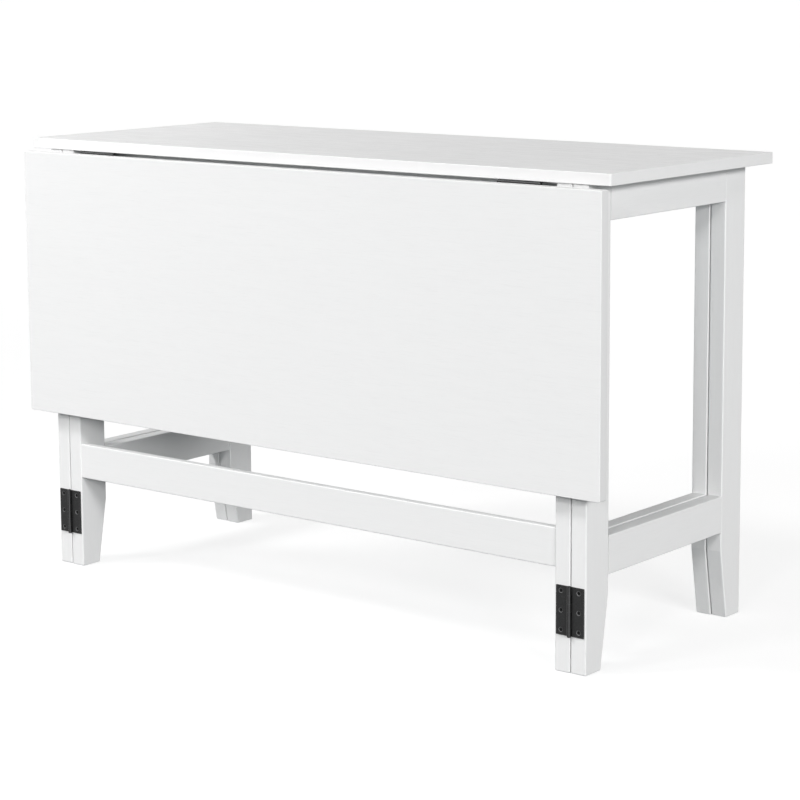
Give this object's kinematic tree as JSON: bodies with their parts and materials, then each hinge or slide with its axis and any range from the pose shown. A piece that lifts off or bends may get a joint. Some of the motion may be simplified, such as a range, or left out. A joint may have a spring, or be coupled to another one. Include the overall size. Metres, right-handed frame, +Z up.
{
  "type": "extending dining table",
  "caption": "White painted extending table: narrow fixed top on doubled end frames, a drop leaf hanging along the front edge and hinged gate frames that carry the raised leaf.",
  "frame": {"origin": "on the floor, under the middle of the folded table's bounding box", "axes": "+X along the table's length to its right end, +Y from the drop leaf to the back edge, +Z up"},
  "size_m": [1.2, 0.4824, 0.75],
  "materials": {
    "white_top": "satin white paint with fine grain along the length",
    "white_leaf": "satin white paint with fine grain along the length",
    "white_frame": "satin white paint, grain along the leg",
    "white_rail": "satin white paint, grain along the rail",
    "white_cross": "satin white paint, grain along the length",
    "dowel_wood": "bare beech",
    "zinc_steel": "zinc plated steel",
    "black_hinge": "matte black coated steel",
    "black_pin": "matte black coated steel",
    "black_screw": "black oxide steel"
  },
  "bodies": {
    "frame": {"table_top": "white_top", "fixed_left_front_leg": "white_frame", "fixed_left_back_leg": "white_frame", "fixed_left_upper_rail": "white_rail", "fixed_left_lower_rail": "white_rail", "fixed_right_front_leg": "white_frame", "fixed_right_back_leg": "white_frame", "fixed_right_upper_rail": "white_rail", "fixed_right_lower_rail": "white_rail", "front_stretcher": "white_cross", "front_apron": "white_cross", "rear_apron": "white_cross", "frame_dowels": "dowel_wood", "connector_bolts": "zinc_steel", "barrel_nuts": "zinc_steel", "top_screws": "zinc_steel", "gate_hinge_left_lower_fixed_plate": "black_hinge", "gate_hinge_left_upper_fixed_plate": "black_hinge", "gate_hinge_right_lower_fixed_plate": "black_hinge", "gate_hinge_right_upper_fixed_plate": "black_hinge", "gate_hinge_pins": "black_pin", "leaf_hinge_left_top_plate": "black_hinge", "leaf_hinge_right_top_plate": "black_hinge", "leaf_hinge_pins": "black_pin", "frame_hinge_screws": "black_screw"},
    "leaf": {"drop_leaf": "white_leaf", "leaf_hinge_left_leaf_plate": "black_hinge", "leaf_hinge_right_leaf_plate": "black_hinge", "leaf_hinge_screws": "black_screw"},
    "gate_left": {"gate_left_front_leg": "white_frame", "gate_left_back_leg": "white_frame", "gate_left_upper_rail": "white_rail", "gate_left_lower_rail": "white_rail", "gate_left_dowels": "dowel_wood", "gate_hinge_left_lower_gate_plate": "black_hinge", "gate_hinge_left_upper_gate_plate": "black_hinge", "gate_left_hinge_screws": "black_screw"},
    "gate_right": {"gate_right_front_leg": "white_frame", "gate_right_back_leg": "white_frame", "gate_right_upper_rail": "white_rail", "gate_right_lower_rail": "white_rail", "gate_right_dowels": "dowel_wood", "gate_hinge_right_lower_gate_plate": "black_hinge", "gate_hinge_right_upper_gate_plate": "black_hinge", "gate_right_hinge_screws": "black_screw"}
  },
  "joints": [
    {"name": "leaf_hinge", "type": "hinge", "parent": "frame", "child": "leaf", "pos_m": [0, -0.21945, 0.7283], "axis": [-1, 0, 0], "range_deg": [0, 90]},
    {"name": "gate_left_swing", "type": "hinge", "parent": "frame", "child": "gate_left", "pos_m": [-0.532, -0.21955, 0], "axis": [0, 0, 1], "range_deg": [0, 10]},
    {"name": "gate_right_swing", "type": "hinge", "parent": "frame", "child": "gate_right", "pos_m": [0.532, -0.21955, 0], "axis": [0, 0, -1], "range_deg": [0, 10]}
  ]
}
